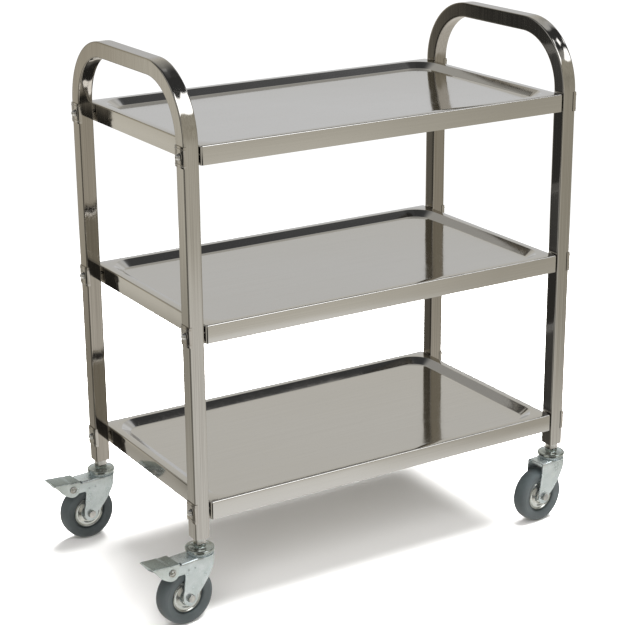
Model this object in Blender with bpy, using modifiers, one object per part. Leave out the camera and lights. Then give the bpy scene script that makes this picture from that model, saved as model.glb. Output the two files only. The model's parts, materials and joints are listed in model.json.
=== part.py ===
"""Food service trolley: two bent tube end frames, three pressed shelves, four casters.

Metres, +Z up. +X runs along the length, -Y is the front, and the braked casters are at -X.
The model stands on Z = 0 with the middle of its bounding box over the origin.
"""
import math

import bmesh
import bpy
from mathutils import Matrix, Vector

# ---------------------------------------------------------------- driving dimensions
FRAME_LENGTH = 0.769          # outside to outside of the two end frames
FRAME_WIDTH = 0.4115          # outside to outside of a frame's two legs
FRAME_HEIGHT = 0.9268         # floor to the top of the handles
TUBE = 0.0265                 # square tube, across its flats
TUBE_WALL = 0.0012
TUBE_CORNER = 0.003
BEND_RADIUS = 0.1203          # handle bends, outer radius
BEND_STEPS = 7
LEG_FOOT = 0.145              # floor to the open end of a leg
GAP = 0.0003                  # clearance between touching pieces
CUT_PAST = 0.010              # how far a cutter runs past what it cuts

SHELF_TOPS = {"bottom": 0.208, "middle": 0.5145, "top": 0.806}
SHELF_WIDTH = 0.415
SHELF_END_GAP = 0.0027        # between a leg and the shelf's end flange
SHEET = 0.0012
SHELF_CORNER = 0.004
SHELF_EDGE = 0.0015           # chamfer along the top edge
FLANGE_DEPTH = 0.031
BORDER = 0.0135               # flat rim around the pressed recess
RECESS_DEPTH = 0.010
RECESS_SLOPE = 0.018          # how far the recess wall leans in
RECESS_CORNER = 0.045
RECESS_FILLET_IN = 0.6        # share of the slope and of the depth at which the
RECESS_FILLET_DOWN = 0.77     # recess wall turns towards the floor

BOLT_DROP = 0.016             # bolt axis below the shelf's top
BOLT_RADIUS = 0.003
BOLT_HOLE = BOLT_RADIUS + GAP
BOLT_HEAD_RADIUS = 0.006
BOLT_HEAD_HEIGHT = 0.005
NUT_THICKNESS = 0.005
NUT_RADIUS = 0.0055
BOLT_TAIL = 0.002             # bolt's end beyond its nut
SADDLE_PROUD = 0.0025         # saddle plate, how far it stands off the leg
SADDLE_HEIGHT = 0.034
SADDLE_LIP = 0.0050           # how far its lips wrap round the leg
SADDLE_SIDE = 0.0010

WHEEL_RADIUS = 0.050
TYRE_WIDTH = 0.031
TYRE_STEPS = 24               # flats around the tyre, one of which lies on the floor
HUB_RADIUS = 0.0297
TRAIL = 0.034                 # axle behind the swivel axis
FORK_HALF_WIDTH = 0.0192      # outside of a fork plate from the wheel's middle
FORK_SHEET = 0.0022
CROWN_TOP = 0.117
CROWN_FRONT = 0.024
AXLE_RADIUS = 0.004
AXLE_HEAD_RADIUS = 0.0065
AXLE_HEAD_HEIGHT = 0.0050
AXLE_NUT_HEIGHT = 0.0058
AXLE_CHAMFER = 0.001
RACE_RADIUS = 0.023
RACE_TOP = 0.1215
RACE_EDGE = 0.001
HEAD_RADIUS = 0.025
HEAD_TOP = 0.1305             # top of the cup, where the neck's collar starts
HEAD_RIM = 0.1260             # top of the cup's upright rim
COLLAR_RADIUS = 0.0085
STEM_RADIUS = 0.005
STEM_TOP = 0.170
NECK_BOTTOM = 0.134
NECK_WIDTH = 0.0175
SOCKET_TOP = 0.176
SOCKET_CORNER = 0.0022
KING_PIN_RADIUS = 0.006
KING_PIN_HOLE = KING_PIN_RADIUS + 0.0004
KING_RIVET_RADIUS = 0.010
KING_RIVET_HEIGHT = 0.0032

PEDAL_PIVOT = (0.069, 0.107)  # distance behind the swivel axis, height
PEDAL_SHEET = 0.0016
PEDAL_HALF_WIDTH = 0.0213
PIN_RADIUS = 0.0026
PIN_HEAD_RADIUS = 0.0055
PIN_HEAD_HEIGHT = 0.0022
CHEEK_RADIUS = 0.0145         # rounded bulge of the pedal's cheek about its pivot
SHOE_REACH = 0.0160           # pivot to the tip of the brake shoe
SHOE_RADIUS = 0.0065          # rounded back of the shoe
SHOE_GAP = 0.001              # between the shoe and each fork plate
PEDAL_TRAVEL = math.radians(22)

# each caster's swivel angle as it stands: direction in which its wheel trails
CASTERS = {
    "front_left": {"side": -1, "depth": -1, "angle": 187, "brake": True},
    "rear_left": {"side": -1, "depth": 1, "angle": 184, "brake": True},
    "front_right": {"side": 1, "depth": -1, "angle": 187, "brake": False},
    "rear_right": {"side": 1, "depth": 1, "angle": 183, "brake": False},
}

LEG_X = (FRAME_LENGTH - TUBE) / 2
LEG_Y = (FRAME_WIDTH - TUBE) / 2
SHELF_LENGTH = FRAME_LENGTH - 2 * (TUBE + SHELF_END_GAP)


# ---------------------------------------------------------------- scene and helpers
for old in list(bpy.data.objects):
    bpy.data.objects.remove(old, do_unlink=True)

PARTS = bpy.data.collections.new("food_service_trolley")
CUTTERS = bpy.data.collections.new("cutters")
bpy.context.scene.collection.children.link(PARTS)
bpy.context.scene.collection.children.link(CUTTERS)


def material(name, colour, roughness, metallic):
    """One Principled material."""
    result = bpy.data.materials.new(name)
    result.use_nodes = True
    shader = result.node_tree.nodes["Principled BSDF"]
    shader.inputs["Base Color"].default_value = (*colour, 1.0)
    shader.inputs["Roughness"].default_value = roughness
    shader.inputs["Metallic"].default_value = metallic
    return result


TUBE_STEEL = material("polished_tube_steel", (0.62, 0.60, 0.56), 0.18, 1.0)
SHELF_STEEL = material("shelf_steel", (0.66, 0.65, 0.62), 0.24, 1.0)
PLATE_STEEL = material("saddle_steel", (0.58, 0.56, 0.53), 0.28, 1.0)
BOLT_STEEL = material("bolt_chrome", (0.70, 0.70, 0.70), 0.12, 1.0)
SOCKET_STEEL = material("socket_steel", (0.55, 0.54, 0.52), 0.30, 1.0)
HEAD_ZINC = material("caster_head_zinc", (0.66, 0.69, 0.69), 0.26, 1.0)
FORK_ZINC = material("caster_fork_zinc", (0.68, 0.71, 0.72), 0.34, 1.0)
HUB_ZINC = material("hub_zinc", (0.70, 0.71, 0.70), 0.30, 1.0)
PEDAL_ZINC = material("pedal_zinc", (0.62, 0.66, 0.64), 0.34, 1.0)
AXLE_STEEL = material("axle_steel", (0.50, 0.50, 0.48), 0.30, 1.0)
TYRE_RUBBER = material("tyre_rubber", (0.060, 0.070, 0.072), 0.62, 0.0)


def add_object(name, mesh, collection=PARTS):
    """Link a new object that holds this mesh."""
    result = bpy.data.objects.new(name, mesh)
    collection.objects.link(result)
    return result


def mesh_from(bm, name):
    """Turn a bmesh into a mesh with its faces pointing out."""
    bmesh.ops.recalc_face_normals(bm, faces=bm.faces)
    mesh = bpy.data.meshes.new(name)
    bm.to_mesh(mesh)
    bm.free()
    return mesh


def add_modifier(target, kind, **settings):
    """Add one modifier and set its values."""
    modifier = target.modifiers.new(kind.lower(), kind)
    for key, value in settings.items():
        setattr(modifier, key, value)
    return modifier


def baked_mesh(source):
    """The mesh that an object's modifiers make; the object itself is removed."""
    depsgraph = bpy.context.evaluated_depsgraph_get()
    depsgraph.update()
    mesh = bpy.data.meshes.new_from_object(source.evaluated_get(depsgraph))
    bpy.data.objects.remove(source, do_unlink=True)
    return mesh


def finish(target, look, smooth_angle=35):
    """Give a piece its material, and smooth shading below this angle."""
    mesh = target.data
    if not mesh.materials:
        mesh.materials.append(look)
        mesh.shade_smooth()
        mesh.set_sharp_from_angle(angle=math.radians(smooth_angle))
    return target


def mark_cutter(target):
    """Keep a cutter out of renders and out of the model."""
    target.hide_render = True
    target.display_type = "WIRE"
    return target


def box_mesh(name, low, high):
    """A box between two corners."""
    bm = bmesh.new()
    bmesh.ops.create_cube(bm, size=1.0)
    size = Vector(high) - Vector(low)
    bmesh.ops.scale(bm, vec=size, verts=bm.verts)
    bmesh.ops.translate(bm, vec=(Vector(high) + Vector(low)) / 2, verts=bm.verts)
    return mesh_from(bm, name)


def rod_mesh(name, radius, start, end, segments=10):
    """A cylinder between two points."""
    axis = Vector(end) - Vector(start)
    bm = bmesh.new()
    bmesh.ops.create_cone(bm, cap_ends=True, segments=segments, radius1=radius,
                          radius2=radius, depth=axis.length)
    turn = Vector((0, 0, 1)).rotation_difference(axis).to_matrix()
    bmesh.ops.rotate(bm, cent=(0, 0, 0), matrix=turn, verts=bm.verts)
    bmesh.ops.translate(bm, vec=(Vector(end) + Vector(start)) / 2, verts=bm.verts)
    return mesh_from(bm, name)


def turned_mesh(name, profile, steps, closed=False):
    """Screw a profile of (radius, height) points, top to bottom, about Z."""
    mesh = bpy.data.meshes.new(name)
    count = len(profile)
    edges = [(i, i + 1) for i in range(count - 1)]
    if closed:
        edges.append((count - 1, 0))
    mesh.from_pydata([(r, 0, z) for r, z in profile], edges, [])
    source = add_object(name, mesh)
    add_modifier(source, "SCREW", steps=steps, render_steps=steps, use_merge_vertices=True,
                 merge_threshold=0.00001)
    return baked_mesh(source)


def turn_mesh(mesh, angle, axis):
    """Rotate a mesh about an axis through its origin."""
    mesh.transform(Matrix.Rotation(angle, 4, axis))
    return mesh


def cut(target, cutter, operation="DIFFERENCE"):
    """Boolean a piece with a cutter."""
    mark_cutter(cutter)
    add_modifier(target, "BOOLEAN", operation=operation, object=cutter, solver="EXACT")


def baked_cut(name, mesh, cutter_meshes, operation="DIFFERENCE"):
    """Cut a mesh with several others, one after another, and return the result."""
    target = add_object(name, mesh)
    cutters = []
    for index, cutter_mesh in enumerate(cutter_meshes):
        cutter = add_object(f"{name}_cutter_{index}", cutter_mesh, CUTTERS)
        cut(target, cutter, operation)
        cutters.append(cutter)
    result = baked_mesh(target)
    for cutter in cutters:
        bpy.data.objects.remove(cutter, do_unlink=True)
    return result


def arc(centre, radius, start, end, steps):
    """Points along an arc, angles in degrees, both ends included."""
    angles = [math.radians(start + (end - start) * i / steps) for i in range(steps + 1)]
    return [(centre[0] + radius * math.cos(a), centre[1] + radius * math.sin(a)) for a in angles]


def rounded_rectangle(half_x, half_y, radius, steps):
    """Corner arcs of a rectangle, counter-clockwise from the +X side."""
    points = []
    for quarter, (sx, sy) in enumerate(((1, 1), (-1, 1), (-1, -1), (1, -1))):
        centre = (sx * (half_x - radius), sy * (half_y - radius))
        points += arc(centre, radius, quarter * 90, quarter * 90 + 90, steps)
    return points


# ---------------------------------------------------------------- end frames
def end_frame(name, side, hole_cutter):
    """One inverted U of square tube, with through holes for the shelf bolts."""
    bm = bmesh.new()
    outline = rounded_rectangle(TUBE / 2, TUBE / 2, TUBE_CORNER, 1)
    x, y = side * LEG_X, -LEG_Y
    verts = [bm.verts.new((x + px, y + py, LEG_FOOT)) for px, py in outline]
    edges = [bm.edges.new((verts[i - 1], verts[i])) for i in range(len(verts))]
    bend_centre_z = FRAME_HEIGHT - BEND_RADIUS
    bend_centre_y = FRAME_WIDTH / 2 - BEND_RADIUS

    def extrude(geometry, vector):
        made = bmesh.ops.extrude_edge_only(bm, edges=geometry)["geom"]
        moved = [g for g in made if isinstance(g, bmesh.types.BMVert)]
        bmesh.ops.translate(bm, vec=vector, verts=moved)
        return [g for g in made if isinstance(g, bmesh.types.BMEdge)]

    def bend(geometry, centre_y):
        made = bmesh.ops.spin(bm, geom=geometry, cent=(x, centre_y, bend_centre_z),
                              axis=(-1, 0, 0), angle=math.radians(90), steps=BEND_STEPS)
        return [g for g in made["geom_last"] if isinstance(g, bmesh.types.BMEdge)]

    edges = extrude(edges, (0, 0, bend_centre_z - LEG_FOOT))
    edges = bend(edges, -bend_centre_y)
    edges = extrude(edges, (0, 2 * bend_centre_y, 0))
    edges = bend(edges, bend_centre_y)
    extrude(edges, (0, 0, LEG_FOOT - bend_centre_z))
    frame = add_object(name, mesh_from(bm, name))
    add_modifier(frame, "SOLIDIFY", thickness=TUBE_WALL, offset=-1, use_even_offset=True)
    cut(frame, hole_cutter)
    return finish(frame, TUBE_STEEL)


def bolt_holes_cutter():
    """Long rods along X, one on each line of shelf bolts."""
    bm = bmesh.new()
    for height in SHELF_TOPS.values():
        for depth in (-1, 1):
            made = bmesh.ops.create_cone(bm, cap_ends=True, segments=10, radius1=BOLT_HOLE,
                                         radius2=BOLT_HOLE, depth=FRAME_LENGTH + 2 * TUBE)
            turn = Matrix.Rotation(math.radians(90), 3, "Y")
            bmesh.ops.rotate(bm, cent=(0, 0, 0), matrix=turn, verts=made["verts"])
            bmesh.ops.translate(bm, vec=(0, depth * LEG_Y, height - BOLT_DROP), verts=made["verts"])
    return mark_cutter(add_object("frame_bolt_holes", mesh_from(bm, "frame_bolt_holes"), CUTTERS))


# ---------------------------------------------------------------- shelves
def shelf_mesh():
    """A pressed tray: flanges, flat rim, sloping recess wall and floor, with weld nuts."""
    half_x, half_y = SHELF_LENGTH / 2, SHELF_WIDTH / 2
    inner_x, inner_y = half_x - BORDER, half_y - BORDER
    fillet = RECESS_SLOPE * RECESS_FILLET_IN
    loops = [
        (half_x, half_y, SHELF_CORNER, -FLANGE_DEPTH),
        (half_x, half_y, SHELF_CORNER, -SHELF_EDGE),
        (half_x - SHELF_EDGE, half_y - SHELF_EDGE, SHELF_CORNER - SHELF_EDGE, 0.0),
        (inner_x, inner_y, RECESS_CORNER, 0.0),
        (inner_x - fillet, inner_y - fillet, RECESS_CORNER - fillet,
         -RECESS_DEPTH * RECESS_FILLET_DOWN),
        (inner_x - RECESS_SLOPE, inner_y - RECESS_SLOPE, RECESS_CORNER - RECESS_SLOPE, -RECESS_DEPTH),
    ]
    bm = bmesh.new()
    rings = []
    for lx, ly, radius, z in loops:
        rings.append([bm.verts.new((px, py, z)) for px, py in rounded_rectangle(lx, ly, radius, 4)])
    for lower, upper in zip(rings, rings[1:]):
        for i in range(len(lower)):
            bm.faces.new((lower[i - 1], lower[i], upper[i], upper[i - 1]))
    bm.faces.new(rings[-1])
    mesh = bpy.data.meshes.new("shelf")
    bm.to_mesh(mesh)
    bm.free()
    tray = add_object("shelf_blank", mesh)
    add_modifier(tray, "SOLIDIFY", thickness=SHEET, offset=-1, use_even_offset=True)
    mesh = baked_mesh(tray)

    nuts = []
    for side in (-1, 1):
        for depth in (-1, 1):
            outer = side * (half_x - SHEET / 2)
            inner = side * (half_x - SHEET - NUT_THICKNESS)
            nuts.append(rod_mesh("weld_nut", NUT_RADIUS, (outer, depth * LEG_Y, -BOLT_DROP),
                                 (inner, depth * LEG_Y, -BOLT_DROP), segments=6))
    mesh = baked_cut("shelf_with_nuts", mesh, nuts, "UNION")
    holes = [rod_mesh("hole", BOLT_HOLE, (-half_x - TUBE, depth * LEG_Y, -BOLT_DROP),
                      (half_x + TUBE, depth * LEG_Y, -BOLT_DROP)) for depth in (-1, 1)]
    return baked_cut("shelf_with_holes", mesh, holes)


# ---------------------------------------------------------------- joints of shelf and leg
# Local frame: origin on the leg's outer face on the bolt axis, +X pointing away from the leg.
def saddle_mesh():
    """A shallow steel channel that spreads the bolt's load over the leg."""
    half_y = TUBE / 2 + GAP + SADDLE_SIDE
    blank = box_mesh("saddle", (-SADDLE_LIP, -half_y, -SADDLE_HEIGHT / 2),
                     (SADDLE_PROUD, half_y, SADDLE_HEIGHT / 2))
    leg = box_mesh("saddle_leg", (-TUBE, -TUBE / 2 - GAP, -SADDLE_HEIGHT),
                   (GAP, TUBE / 2 + GAP, SADDLE_HEIGHT))
    hole = rod_mesh("saddle_hole", BOLT_HOLE, (-TUBE, 0, 0), (TUBE, 0, 0))
    return baked_cut("saddle_cut", blank, [leg, hole])


def shelf_bolt_mesh():
    """Dome-headed bolt: its head outside the saddle, its shank through leg, flange and nut."""
    base = SADDLE_PROUD + GAP
    inner_end = TUBE + SHELF_END_GAP + SHEET + NUT_THICKNESS + BOLT_TAIL
    # a quarter of an ellipse for the dome, built along Z and then laid along X
    dome = [(BOLT_HEAD_RADIUS * math.sin(math.radians(a)),
             base + BOLT_HEAD_HEIGHT * math.cos(math.radians(a))) for a in (0, 35, 65, 90)]
    profile = dome + [(BOLT_RADIUS, base), (BOLT_RADIUS, -inner_end), (0.0, -inner_end)]
    return turn_mesh(turned_mesh("shelf_bolt", profile, steps=10), math.radians(90), "Y")


# ---------------------------------------------------------------- casters
# Local frame: origin on the floor below the swivel axis, +X the way the wheel trails,
# Y along the axle.
def socket_mesh():
    """Square insert in the foot of the leg, with the bore that takes the caster's stem."""
    half = TUBE / 2 - TUBE_WALL - GAP
    insert = box_mesh("socket_insert", (-half, -half, LEG_FOOT), (half, half, SOCKET_TOP))
    insert_object = add_object("socket_blank", insert)
    add_modifier(insert_object, "BEVEL", width=SOCKET_CORNER, segments=1)
    insert = baked_mesh(insert_object)
    half = NECK_WIDTH / 2
    neck = box_mesh("socket_neck", (-half, -half, NECK_BOTTOM), (half, half, LEG_FOOT + CUT_PAST))
    body = baked_cut("socket_body", insert, [neck], "UNION")
    bore = rod_mesh("socket_bore", STEM_RADIUS + GAP, (0, 0, NECK_BOTTOM - CUT_PAST),
                    (0, 0, SOCKET_TOP + CUT_PAST), segments=12)
    return baked_cut("socket_bored", body, [bore])


def head_mesh():
    """Upper swivel cup with its stem above and its king pin, riveted under the crown."""
    crown_underside = CROWN_TOP - FORK_SHEET
    profile = [
        (0.0, STEM_TOP),
        (STEM_RADIUS, STEM_TOP),
        (STEM_RADIUS, NECK_BOTTOM - GAP),
        (COLLAR_RADIUS, NECK_BOTTOM - GAP),
        (COLLAR_RADIUS + 0.001, HEAD_TOP),
        (HEAD_RADIUS * 0.68, HEAD_TOP - 0.0008),
        (HEAD_RADIUS - 0.0015, HEAD_RIM + 0.0015),
        (HEAD_RADIUS, HEAD_RIM),
        (HEAD_RADIUS, RACE_TOP + 3 * GAP),
        (KING_PIN_RADIUS, RACE_TOP + 2 * GAP),
        (KING_PIN_RADIUS, crown_underside - GAP),
        (KING_RIVET_RADIUS, crown_underside - GAP),
        (COLLAR_RADIUS, crown_underside - KING_RIVET_HEIGHT),
        (0.0, crown_underside - KING_RIVET_HEIGHT),
    ]
    return turned_mesh("caster_head", profile, steps=12)


def race_mesh():
    """Lower swivel race on the fork's crown; the king pin's hole is cut through both."""
    sunk = CROWN_TOP - FORK_SHEET / 2
    profile = [
        (0.0, RACE_TOP),
        (RACE_RADIUS - RACE_EDGE, RACE_TOP),
        (RACE_RADIUS, CROWN_TOP + 2 * RACE_EDGE),
        (RACE_RADIUS - RACE_EDGE, sunk),
        (0.0, sunk),
    ]
    return turned_mesh("swivel_race", profile, steps=12)


def fork_outline(brake):
    """Side view of a fork plate as (distance behind the swivel axis, height)."""
    front = [(-0.016, CROWN_TOP), (-0.015, 0.102), (-0.009, 0.085), (0.006, 0.0665)]
    boss = arc((TRAIL, WHEEL_RADIUS), 0.016, 170, 370, 6)
    rear = [(0.0445, 0.080)]
    if brake:
        end_radius = CROWN_TOP - PEDAL_PIVOT[1]
        arm = arc(PEDAL_PIVOT, end_radius, 270, 450, 6)
        return front + boss + rear + [(0.0430, PEDAL_PIVOT[1] - end_radius)] + arm
    return front + boss + rear + [(0.0410, 0.100), (0.0400, CROWN_TOP)]


def bent_channel(name, outline, half_width, sheet, bend):
    """A sheet bent to a U: two side plates with this outline, joined along its last edge."""
    bm = bmesh.new()
    sides = []
    for sign in (-1, 1):
        sides.append([bm.verts.new((u, sign * half_width, z)) for u, z in outline])
        bm.faces.new(sides[-1])
    left, right = sides
    bm.faces.new((left[0], right[0], right[-1], left[-1]))
    bends = [e for e in bm.edges if len(e.link_faces) == 2]
    bmesh.ops.recalc_face_normals(bm, faces=bm.faces)
    top = max(bm.faces, key=lambda f: abs(f.normal.z))
    if top.normal.z < 0:
        bmesh.ops.reverse_faces(bm, faces=bm.faces)
    bmesh.ops.bevel(bm, geom=bends, offset=bend, segments=3, affect="EDGES", profile=0.5)
    mesh = bpy.data.meshes.new(name)
    bm.to_mesh(mesh)
    bm.free()
    blank = add_object(name, mesh)
    add_modifier(blank, "SOLIDIFY", thickness=sheet, offset=-1, use_even_offset=True)
    return baked_mesh(blank)


def fork_mesh(brake):
    """Pressed fork with its swivel race; the braked one has arms for the pedal."""
    outline = fork_outline(brake)
    sheet = bent_channel("caster_fork", outline, FORK_HALF_WIDTH, FORK_SHEET, bend=0.004)
    # the disc lies inside the sheet's thickness, so that no two faces coincide
    disc = rod_mesh("crown_disc", CROWN_FRONT, (0, 0, CROWN_TOP - FORK_SHEET + GAP),
                    (0, 0, CROWN_TOP - GAP), segments=16)
    body = baked_cut("caster_fork_body", sheet, [disc, race_mesh()], "UNION")
    reach = FORK_HALF_WIDTH * 2
    holes = [
        rod_mesh("king_pin_hole", KING_PIN_HOLE, (0, 0, CROWN_TOP - CUT_PAST),
                 (0, 0, RACE_TOP + CUT_PAST), segments=12),
        rod_mesh("axle_hole", AXLE_RADIUS + GAP, (TRAIL, -reach, WHEEL_RADIUS),
                 (TRAIL, reach, WHEEL_RADIUS)),
    ]
    if brake:
        holes.append(rod_mesh("pin_hole", PIN_RADIUS + GAP, (PEDAL_PIVOT[0], -reach, PEDAL_PIVOT[1]),
                              (PEDAL_PIVOT[0], reach, PEDAL_PIVOT[1])))
    return baked_cut("caster_fork_cut", body, holes)


def axle_bolt_mesh():
    """Axle bolt with its head and nut, about Y at the wheel's centre."""
    face = FORK_HALF_WIDTH + GAP
    head, nut = face + AXLE_HEAD_HEIGHT, face + AXLE_NUT_HEIGHT
    profile = [(0.0, head), (AXLE_HEAD_RADIUS - AXLE_CHAMFER, head),
               (AXLE_HEAD_RADIUS, head - AXLE_CHAMFER), (AXLE_HEAD_RADIUS, face),
               (AXLE_RADIUS, face), (AXLE_RADIUS, -face), (AXLE_HEAD_RADIUS, -face),
               (AXLE_HEAD_RADIUS, -nut), (0.0, -nut)]
    return turn_mesh(turned_mesh("axle_bolt", profile, steps=12), math.radians(90), "X")


def hub_mesh():
    """Pressed hub with its bearing tube, about Y at the wheel's centre."""
    bore = AXLE_RADIUS + GAP
    profile = [(bore, 0.0164), (0.0080, 0.0164), (0.0085, 0.0115), (0.0240, 0.0080),
               (HUB_RADIUS, 0.0094), (HUB_RADIUS, -0.0094), (0.0240, -0.0080),
               (0.0085, -0.0115), (0.0080, -0.0164), (bore, -0.0164)]
    return turn_mesh(turned_mesh("wheel_hub", profile, steps=16, closed=True), math.radians(90), "X")


def tyre_mesh():
    """Solid rubber tyre, about Y at the wheel's centre, standing on one of its flats."""
    half, bead = TYRE_WIDTH / 2, HUB_RADIUS + 3 * GAP
    corner = 1 / math.cos(math.pi / TYRE_STEPS)
    upper = [(bead, 0.0105), (0.0370, 0.0146), (0.0445, half), (0.0485 * corner, 0.0115),
             (WHEEL_RADIUS * corner, 0.0050)]
    profile = upper + [(r, -w) for r, w in reversed(upper)]
    mesh = turned_mesh("tyre", profile, steps=TYRE_STEPS, closed=True)
    turn_mesh(mesh, math.pi / TYRE_STEPS, "Z")
    return turn_mesh(mesh, math.radians(90), "X")


def pedal_mesh():
    """Pressed brake pedal: foot plate and two cheeks, about Y at its pivot."""
    plate_front, plate_tip = (-0.015, 0.0125), (0.0365, 0.0165)
    outline = [plate_front, (-0.0115, -0.004)]
    outline += arc((0, 0), CHEEK_RADIUS, 215, 300, 4)
    outline += [(0.0230, -0.003), (0.0320, 0.0075), plate_tip]
    mesh = bent_channel("brake_pedal", outline, PEDAL_HALF_WIDTH, PEDAL_SHEET, bend=0.0025)
    reach = PEDAL_HALF_WIDTH * 2
    hole = rod_mesh("pedal_hole", PIN_RADIUS + GAP, (0, -reach, 0), (0, reach, 0))
    return baked_cut("brake_pedal_cut", mesh, [hole])


def brake_pin_mesh():
    """Rivet that the pedal turns on, about Y."""
    face = PEDAL_HALF_WIDTH + GAP
    crown = face + PIN_HEAD_HEIGHT
    shoulder = (PIN_HEAD_RADIUS * 0.73, face + PIN_HEAD_HEIGHT * 0.73)
    half = [(0.0, crown), shoulder, (PIN_HEAD_RADIUS, face), (PIN_RADIUS, face)]
    profile = half + [(radius, -y) for radius, y in reversed(half)]
    return turn_mesh(turned_mesh("brake_pin", profile, steps=12), math.radians(90), "X")


def brake_shoe_mesh():
    """Cam on the pedal's pin, whose toe swings towards the tyre as the pedal goes down."""
    to_axle = math.atan2(WHEEL_RADIUS - PEDAL_PIVOT[1], TRAIL - PEDAL_PIVOT[0])
    toe = math.degrees(to_axle + PEDAL_TRAVEL)
    half = FORK_HALF_WIDTH - FORK_SHEET - SHOE_GAP
    outline = arc((0, 0), SHOE_RADIUS, toe + 80, toe + 280, 6)
    outline += arc((0, 0), SHOE_REACH, toe - 6, toe + 6, 2)
    bm = bmesh.new()
    bottom = bm.faces.new([bm.verts.new((u, -half, z)) for u, z in outline])
    made = bmesh.ops.extrude_face_region(bm, geom=[bottom], use_keep_orig=True)["geom"]
    moved = [g for g in made if isinstance(g, bmesh.types.BMVert)]
    bmesh.ops.translate(bm, vec=(0, 2 * half, 0), verts=moved)
    hole = rod_mesh("shoe_hole", PIN_RADIUS + GAP, (0, -2 * half, 0), (0, 2 * half, 0))
    return baked_cut("brake_shoe_cut", mesh_from(bm, "brake_shoe"), [hole])


# ---------------------------------------------------------------- assembly
def add_empty(name, parent, location, turn=0.0):
    """A guide that carries pieces: location and turn about Z under its parent."""
    result = bpy.data.objects.new(name, None)
    PARTS.objects.link(result)
    result.parent = parent
    result.location = location
    result.rotation_euler = (0, 0, turn)
    return result


def add_piece(name, mesh, look, parent, location=(0, 0, 0), turn=0.0):
    """One named piece under a guide."""
    piece = finish(add_object(name, mesh), look)
    piece.parent = parent
    piece.location = location
    piece.rotation_euler = (0, 0, turn)
    return piece


def build_caster(place, spec, meshes, root):
    """The pieces of one caster, trailing at its own angle."""
    leg = (spec["side"] * LEG_X, spec["depth"] * LEG_Y, 0)
    add_piece(f"leg_socket_{place}", meshes["socket"], SOCKET_STEEL, root, leg)
    add_piece(f"caster_head_{place}", meshes["head"], HEAD_ZINC, root, leg)
    swivel = add_empty(f"swivel_{place}", root, leg, math.radians(spec["angle"]))
    fork = meshes["braked_fork"] if spec["brake"] else meshes["fork"]
    add_piece(f"caster_fork_{place}", fork, FORK_ZINC, swivel)
    axle = (TRAIL, 0, WHEEL_RADIUS)
    add_piece(f"axle_bolt_{place}", meshes["axle"], AXLE_STEEL, swivel, axle)
    add_piece(f"wheel_hub_{place}", meshes["hub"], HUB_ZINC, swivel, axle)
    add_piece(f"tyre_{place}", meshes["tyre"], TYRE_RUBBER, swivel, axle)
    if spec["brake"]:
        pivot = (PEDAL_PIVOT[0], 0, PEDAL_PIVOT[1])
        add_piece(f"brake_pedal_{place}", meshes["pedal"], PEDAL_ZINC, swivel, pivot)
        add_piece(f"brake_pin_{place}", meshes["pin"], AXLE_STEEL, swivel, pivot)
        add_piece(f"brake_shoe_{place}", meshes["shoe"], AXLE_STEEL, swivel, pivot)


def centre_on_origin(root):
    """Move the whole model so that its bounding box is centred over the origin."""
    bpy.context.view_layer.update()
    depsgraph = bpy.context.evaluated_depsgraph_get()
    points = []
    for piece in PARTS.objects:
        if piece.type == "MESH":
            shape = piece.evaluated_get(depsgraph)
            points += [piece.matrix_world @ vertex.co for vertex in shape.data.vertices]
    for axis in (0, 1):
        values = [point[axis] for point in points]
        root.location[axis] -= (min(values) + max(values)) / 2


def build():
    """Make every piece and centre the model."""
    root = add_empty("trolley", None, (0, 0, 0))
    holes = bolt_holes_cutter()
    holes.parent = root
    for side_name, side in (("left", -1), ("right", 1)):
        frame = end_frame(f"end_frame_{side_name}", side, holes)
        frame.parent = root

    shelf = shelf_mesh()
    saddle, bolt = saddle_mesh(), shelf_bolt_mesh()
    for level, top in SHELF_TOPS.items():
        add_piece(f"shelf_{level}", shelf, SHELF_STEEL, root, (0, 0, top))
        for place, spec in CASTERS.items():
            spot = (spec["side"] * FRAME_LENGTH / 2, spec["depth"] * LEG_Y, top - BOLT_DROP)
            turn = 0.0 if spec["side"] > 0 else math.pi
            add_piece(f"saddle_{level}_{place}", saddle, PLATE_STEEL, root, spot, turn)
            add_piece(f"shelf_bolt_{level}_{place}", bolt, BOLT_STEEL, root, spot, turn)

    meshes = {
        "socket": socket_mesh(), "head": head_mesh(), "fork": fork_mesh(False),
        "braked_fork": fork_mesh(True), "axle": axle_bolt_mesh(), "hub": hub_mesh(),
        "tyre": tyre_mesh(), "pedal": pedal_mesh(), "pin": brake_pin_mesh(),
        "shoe": brake_shoe_mesh(),
    }
    for place, spec in CASTERS.items():
        build_caster(place, spec, meshes, root)
    centre_on_origin(root)


build()
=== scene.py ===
"""Looks of the food service trolley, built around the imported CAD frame.

Metres, +Z up, +X along the length, -Y is the front. Places come from the frame's boxes and
joints. Pieces of a caster are made in the caster's own frame: origin on the floor under the
swivel axis, +X the way the wheel trails, Y along the axle.
"""

import json
import math

import bmesh
import bpy
from mathutils import Matrix, Vector


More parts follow.
